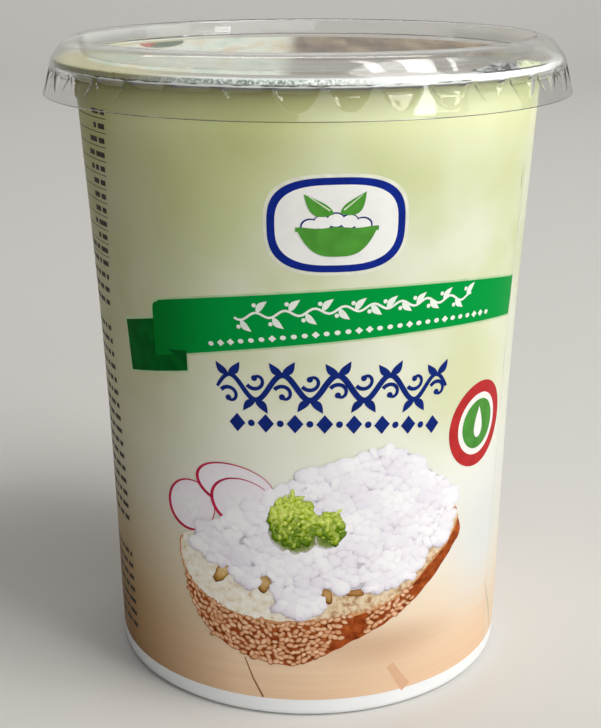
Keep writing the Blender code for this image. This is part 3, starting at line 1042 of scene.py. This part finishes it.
def make_seam():
    heights = np.linspace(LABEL_BOTTOM + 0.2, LABEL_TOP - 0.2, 60)
    near = SEAM_FOOT + (SEAM_HEAD - SEAM_FOOT) * heights / 116 + 0.12 * np.sin(heights * 0.45)
    far = np.full(60, SEAM_END)
    strip = np.concatenate([np.stack([near, heights], -1), np.stack([far, heights], -1)[::-1]])
    print_piece("seam_strip", [strip[::-1]], 1, film_material("overlapped film", paint_overlap))
    # The glints are painted highlights in near-white ink.
    bright = [stroke(path, (0.08, 0.42, 0.1)) for path in PAINTED_GLINTS]
    print_piece("seam_painted_glints", bright, 3, ink("painted glint ink", (255, 255, 250), 0.98))
    # The creases are painted shade in a dark ink.
    creases = [stroke(path, widths) for path, widths in CREASE_SHADE_LINES]
    print_piece("seam_crease_shade", creases, 3, ink("crease shade ink", (158, 152, 122), 0.9))


make_seam()


# Foil seal
# Lacquered aluminium foil is pressed on the flange: nearly flat over the mouth, knurled where it is welded,
# its edge turned down and crinkled. At the right front that edge is missing, and the pull tab is folded back.
FOIL_TOP = 118.3
FOIL_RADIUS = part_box("foil_seal")[1].x / MM
FOIL_SHEET = 0.08
WELD = (43.7, 46.5)
BARE_EDGE = (34, 64)
TAB_SPAN = (38.0, 61.0)
TAB_REACH = (43.3, 46.95)
TAB_THICKNESS = 0.06
TAB_COLUMNS = 64
TAB_ROWS = 16
LEAF_SHIFT = (30.0, -25.0, 0.0)
MOUTH_RADII = (2, 6, 10, 14, 18, 22, 26, 30, 33, 36, 38, 40, 41.5, 43)


def right_of_front(angles):
    """World angles about Z, in radians, as degrees to the right of the front."""
    return (np.degrees(angles) + 270) % 360 - 180


def foil_form(radii, heights, angles, row):
    """Creases the disc, waves the turned-down edge, and ends the foil on the flange where that is missing."""
    right = right_of_front(angles)
    bare = np.clip((right - BARE_EDGE[0]) / 2, 0, 1) * np.clip((BARE_EDGE[1] - right) / 2, 0, 1)
    crinkle = np.sin(43 * angles + 1) + np.sin(71 * angles) * 0.8 + np.sin(127 * angles + 2) * 0.6
    over_edge = np.clip((radii - 46.45) / 0.6, 0, 1)
    drop = np.clip(FOIL_TOP - heights, 0, 2)
    radii = radii + over_edge * (1 - bare) * 0.035 * crinkle * np.clip(drop * 2, 0, 1)
    heights = heights + over_edge * (1 - bare) * drop * 0.07 * (crinkle + 1.4 * np.sin(9 * angles))
    radii = radii - bare * over_edge * (radii - 46.6 - 0.06 * np.sin(97 * angles))
    heights = heights + bare * over_edge * (FOIL_TOP - 0.06 - heights)
    inside = np.clip((44 - radii) / 20, 0, 1) * np.clip(radii / 10, 0, 1)
    dents = np.sin(3 * angles + radii * 0.2) * np.sin(radii * 0.31 + 1)
    dents = dents + 0.6 * np.sin(7 * angles - radii * 0.45)
    return radii, heights + inside * 0.1 * dents


def spread(tree, x, y):
    """A flat vector of two sockets, and its length."""
    flat = add_node(tree, "ShaderNodeCombineXYZ", {"X": x, "Y": y}).outputs[0]
    return flat, length_of(tree, flat)


def printed_mouth(tree, x, y, flat):
    """The print over the mouth: pale green at the left, wood tones at the right, a leaf in two colours."""
    streaks = noise(tree, stretched(tree, flat, (0.16, 0.03, 1)), 1.0, 4.0)
    greens = stops_of((0.35, 0.5, 0.66), (190, 212, 192), (226, 234, 220), (212, 196, 162))
    woods = stops_of((0.38, 0.48, 0.6), (66, 44, 20), (110, 86, 54), (158, 138, 106))
    wood_side = mix(tree, map_range(tree, y, 4.0, -8.0), ramp(tree, streaks, woods), rgb(150, 146, 138))
    colour = mix(tree, map_range(tree, x, -5.0, -2.0), ramp(tree, streaks, greens), wood_side)
    place = add_node(tree, "ShaderNodeMapping", {"Vector": flat, "Location": LEAF_SHIFT}).outputs[0]
    inside = math_node(tree, "LESS_THAN", length_of(tree, stretched(tree, place, (0.23, 0.09, 1))), 1.0)
    across = add_node(tree, "ShaderNodeSeparateXYZ", {"Vector": place}).outputs["X"]
    leaf_colour = mix(tree, math_node(tree, "GREATER_THAN", across, -1.2), rgb(180, 36, 26), rgb(2, 74, 30))
    return mix(tree, inside, colour, leaf_colour)


def bare_metal(tree, x, y, z, millimetres, radius):
    """The bare rim: darker inside, green at the left, mottled where it turns down, with painted shade at its
    foot.
    """
    tinted = map_range(tree, x, -16.0, -30.0)
    silver = mix(tree, tinted, rgb(194, 198, 196), rgb(166, 164, 124))
    far_tone = mix(tree, tinted, rgb(158, 150, 136), rgb(238, 243, 238))
    silver = mix(tree, map_range(tree, y, 2.0, 14.0), silver, far_tone)
    plain = mix(tree, tinted, rgb(150, 148, 142), rgb(176, 172, 136))
    silver = mix(tree, map_range(tree, radius, 45.1, 45.8), plain, silver)
    mottle = stops_of((0.4, 0.54, 0.64), (142, 154, 146), (206, 214, 208), (246, 250, 248))
    knurled = ramp(tree, noise(tree, millimetres, 2.2, 3.0), mottle)
    knurled = mix(tree, map_range(tree, x, 2.0, 18.0), knurled, rgb(234, 238, 237))
    upright = times(tree, map_range(tree, z, 118.26, 118.05), math_node(tree, "SUBTRACT", 1.0, tinted))
    silver = mix(tree, upright, silver, knurled)
    # Painted shade: a ragged dark band at the foot of the turned-down edge, where it meets the flange.
    foot = math_node(tree, "SUBTRACT", z, times(tree, noise(tree, millimetres, 1.1, 3.0), 0.4))
    return mix(tree, map_range(tree, foot, 117.22, 117.1), silver, rgb(92, 94, 76))


def foil_material():
    """Lacquered foil: printed over the mouth, bare metal on the weld and the edge."""
    material, tree, shader = make_material("lacquered foil")
    millimetres = stretched(tree, object_place(tree), (1 / MM, 1 / MM, 1 / MM))
    x, y, z = add_node(tree, "ShaderNodeSeparateXYZ", {"Vector": millimetres}).outputs
    flat, radius = spread(tree, x, y)
    weld = map_range(tree, radius, 40.6, 41.4)
    bare = bare_metal(tree, x, y, z, millimetres, radius)
    colour = mix(tree, weld, printed_mouth(tree, x, y, flat), bare)
    gloss = map_range(tree, noise(tree, flat, 0.5, 4.0), 0.0, 1.0, 0.2, 0.42)
    feed(tree, shader, {"Base Color": colour, "Roughness": gloss})
    shader.inputs["Metallic"].default_value = 0.12
    shader.inputs["Specular IOR Level"].default_value = 0.3
    knurl = add_node(tree, "ShaderNodeTexVoronoi", {"Vector": millimetres, "Scale": 1.5})
    pressed = times(tree, knurl.outputs["Distance"], weld)
    relief = math_node(tree, "MULTIPLY_ADD", pressed, 0.7, noise(tree, flat, 0.22, 3.0))
    add_bump(tree, shader, relief, 0.5, 0.0002)
    return material


def make_foil():
    top = [(0, FOIL_TOP)] + [(radius, FOIL_TOP) for radius in MOUTH_RADII]
    top += [(WELD[0], FOIL_TOP - 0.04), *((radius, FOIL_TOP) for radius in (44.2, 45.0, 45.8, WELD[1]))]
    edge = arc_points((FOIL_RADIUS - 0.3, FOIL_TOP - 0.3), (0.26, 0.3), 90, 0, 5)
    edge += [(FOIL_RADIUS - 0.04, height) for height in (117.8, 117.6, 117.4, 117.25)]
    under = [(radius - 0.04, height) for radius, height in edge[::-1]][:5]
    under += [(radius, FOIL_TOP - FOIL_SHEET) for radius in (46.7, 43, 20, 0)]
    profile = (top + edge + under)[::-1]
    foil = turned_piece("foil_sheet", profile, 720, foil_material(), foil_form)
    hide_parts("foil_seal")


def tab_material():
    """The tab's crumpled foil: bright metal, with its pale green print towards the right end."""
    material, tree, shader = make_material("crumpled foil")
    place = object_place(tree)
    x = add_node(tree, "ShaderNodeSeparateXYZ", {"Vector": place}).outputs["X"]
    printed = map_range(tree, x, 0.0345, 0.036)
    folds = noise(tree, place, 900.0, 4.0)
    silver = ramp(tree, folds, stops_of((0.35, 0.6), (120, 122, 122), (226, 228, 228)))
    green = ramp(tree, folds, stops_of((0.35, 0.6), (170, 178, 140), (214, 220, 190)))
    metal = math_node(tree, "MULTIPLY_ADD", printed, -0.7, 0.9)
    gloss = map_range(tree, folds, 0.0, 1.0, 0.18, 0.4)
    colour = mix(tree, printed, silver, green)
    feed(tree, shader, {"Base Color": colour, "Metallic": metal, "Roughness": gloss})
    add_bump(tree, shader, folds, 0.5, 0.0002)
    return material


def make_pull_tab():
    along, across = np.meshgrid(np.linspace(0, 1, TAB_COLUMNS), np.linspace(0, 1, TAB_ROWS))
    ridge = 0.28 * np.abs(np.sin(11 * along + 4 * across))
    ridge = ridge + 0.2 * np.abs(np.sin(23 * along - 7 * across + 1))
    hump = np.clip(1 - np.abs(along - 0.34) / 0.34, 0, 1) ** 0.8
    hump = hump + 0.55 * np.clip(1 - np.abs(along - 0.75) / 0.25, 0, 1)
    rise = 0.85 * hump + ridge * np.sin(math.pi * along) ** 0.5
    heights = FOIL_TOP + 0.12 + np.sin(math.pi * across) ** 0.7 * rise
    ragged = 0.12 * np.sin(31 * along) + 0.08 * np.sin(57 * along)
    radii = TAB_REACH[1] + (TAB_REACH[0] - TAB_REACH[1]) * across + ragged * (1 - across)
    angles = np.radians(TAB_SPAN[0] + (TAB_SPAN[1] - TAB_SPAN[0]) * along) - math.pi / 2
    upper = np.stack([radii * np.cos(angles), radii * np.sin(angles), heights], -1).reshape(-1, 3)
    count = TAB_COLUMNS * TAB_ROWS
    faces = []
    for start in range(0, count - TAB_COLUMNS, TAB_COLUMNS):
        for a in range(start, start + TAB_COLUMNS - 1):
            b, c, d = a + 1, a + TAB_COLUMNS + 1, a + TAB_COLUMNS
            faces += [(a, b, c, d), (count + a, count + d, count + c, count + b)]
    rim = [*range(TAB_COLUMNS), *range(2 * TAB_COLUMNS - 1, count, TAB_COLUMNS)]
    rim += range(count - 2, count - TAB_COLUMNS - 1, -1)
    rim += range(count - 2 * TAB_COLUMNS, 0, -TAB_COLUMNS)
    faces += [(near, count + near, count + far, far) for near, far in zip(rim, rim[1:] + rim[:1])]
    points = np.concatenate([upper, upper - (0, 0, TAB_THICKNESS)])
    tab = mesh_piece("pull_tab", points, faces, tab_material())
    tab.data.set_sharp_from_angle(angle=math.radians(22))


make_foil()
make_pull_tab()


# Overlid
# A thin thermoformed cover of clear plastic: a lip, a skirt with lugs pressed in, a rounded shoulder, a
# raised stacking ring and a panel that lies just over the foil.
lid_low, lid_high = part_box("overlid")
LIP_BOTTOM = lid_low.z / MM
RING_TOP = lid_high.z / MM
LIP_RADIUS = lid_high.x / MM
LIP_HEIGHT = 1.1
CORNER_RADIUS = 47.75
CORNER_HEIGHT = 118.2
RING_INNER_RADIUS = 42.3
RECESS_FOOT_RADIUS = 41.9
PANEL_TOP = 119.1
PANEL_ALPHA = 0.12
LID_WALL = 0.22
LUGS = 36
LUG_SEGMENTS = 22
SKIRT_ROWS = 22
SKIRT_END = 117.6
CREST_ROUND = 0.6
LUG_TURN = math.radians(3)
LUG_LOW = 113.2
LUG_HIGH = 117.1
LUG_DEPTH = 0.9
LUG_WIDTH = 0.78


def clear_plastic():
    material, tree, shader = make_material("clear plastic")
    place = object_place(tree)
    split = add_node(tree, "ShaderNodeSeparateXYZ", {"Vector": place})
    radius = spread(tree, split.outputs["X"], split.outputs["Y"])[1]
    gloss = map_range(tree, noise(tree, place, 70.0, 3.0), 0.0, 1.0, 0.02, 0.07)
    feed(tree, shader, {"Roughness": gloss, "Alpha": map_range(tree, radius, 0.0412, 0.0422, PANEL_ALPHA)})
    add_bump(tree, shader, noise(tree, place, 120.0, 1.0), 0.25, 0.0002)
    shader.inputs["Base Color"].default_value = (0.985, 0.99, 0.985, 1)
    shader.inputs["Transmission Weight"].default_value = 1.0
    shader.inputs["IOR"].default_value = 1.5
    return material


def lug_depth(radii, heights, angles):
    """How far the skirt is pressed in: a shield-shaped lug between flares that widen downward."""
    share = np.clip((heights - LUG_LOW) / (LUG_HIGH - LUG_LOW), 0, 1)
    off_middle = np.abs((angles - LUG_TURN) * LUGS / math.tau % 1 - 0.5) * 2
    half_width = LUG_WIDTH * np.sqrt(share)
    inside = np.clip((half_width + 0.1 - off_middle) / 0.2, 0, 1)
    inside = inside * inside * (3 - 2 * inside)
    steep = np.clip((share - 0.42) / 0.42, 0, 1)
    slope = 0.35 * np.clip(share / 0.45, 0, 1) + 0.65 * steep * steep * (3 - 2 * steep)
    fade = slope * np.clip((1 - share) * 3.6, 0, 1)
    return LUG_DEPTH * inside * fade * (share > 0)


def shoulder_points(crest_radius):
    """The rounded shoulder from the skirt up to the crest, nearly straight over its middle half."""
    share = np.linspace(0, 1, 20)
    facing = np.radians(np.interp(share, (0, 0.08, 0.5, 0.66, 1), (25, 36, 42, 62, 89)))
    across = np.concatenate([[0], np.cumsum(np.sin((facing[1:] + facing[:-1]) / 2))])
    upward = np.concatenate([[0], np.cumsum(np.cos((facing[1:] + facing[:-1]) / 2))])
    radii = CORNER_RADIUS + (crest_radius - CORNER_RADIUS) * across / across[-1]
    return list(zip(radii, CORNER_HEIGHT + (RING_TOP - CORNER_HEIGHT) * upward / upward[-1]))


def make_overlid():
    lip_top = LIP_BOTTOM + LIP_HEIGHT
    profile = [(LIP_RADIUS - 0.15, LIP_BOTTOM), (LIP_RADIUS, LIP_BOTTOM + 0.15)]
    for height in (lip_top - 0.3, *np.linspace(lip_top - 0.1, LUG_HIGH + 0.1, SKIRT_ROWS), SKIRT_END):
        share = (height - LIP_BOTTOM) / (CORNER_HEIGHT - LIP_BOTTOM)
        profile.append((LIP_RADIUS + (CORNER_RADIUS - LIP_RADIUS) * share, height))
    crest_radius = RING_INNER_RADIUS + CREST_ROUND
    profile += shoulder_points(crest_radius)
    profile += arc_points((crest_radius, RING_TOP - CREST_ROUND), (CREST_ROUND, CREST_ROUND), 100, 170, 5)
    profile += arc_points((RECESS_FOOT_RADIUS - 0.4, PANEL_TOP + 0.4), (0.4, 0.4), 0, -90, 5)
    profile += [(radius, PANEL_TOP) for radius in (39, 30, 15)]
    outer = np.array(profile)
    along = np.gradient(outer, axis=0)
    along /= np.linalg.norm(along, axis=1, keepdims=True)
    inner = outer - LID_WALL * np.stack([along[:, 1], -along[:, 0]], -1)
    shell = [*map(tuple, outer), (0, PANEL_TOP), (0, PANEL_TOP - LID_WALL), *map(tuple, inner[::-1])]

    def lugs(radii, heights, angles, row):
        return radii - lug_depth(radii, heights, angles), heights

    count, plastic = LUGS * LUG_SEGMENTS, clear_plastic()
    lid = turned_piece("overlid_shell", shell, count, plastic, lugs, closed=True, sharp=60)
    lid.visible_shadow = False
    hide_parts("overlid")


make_overlid()
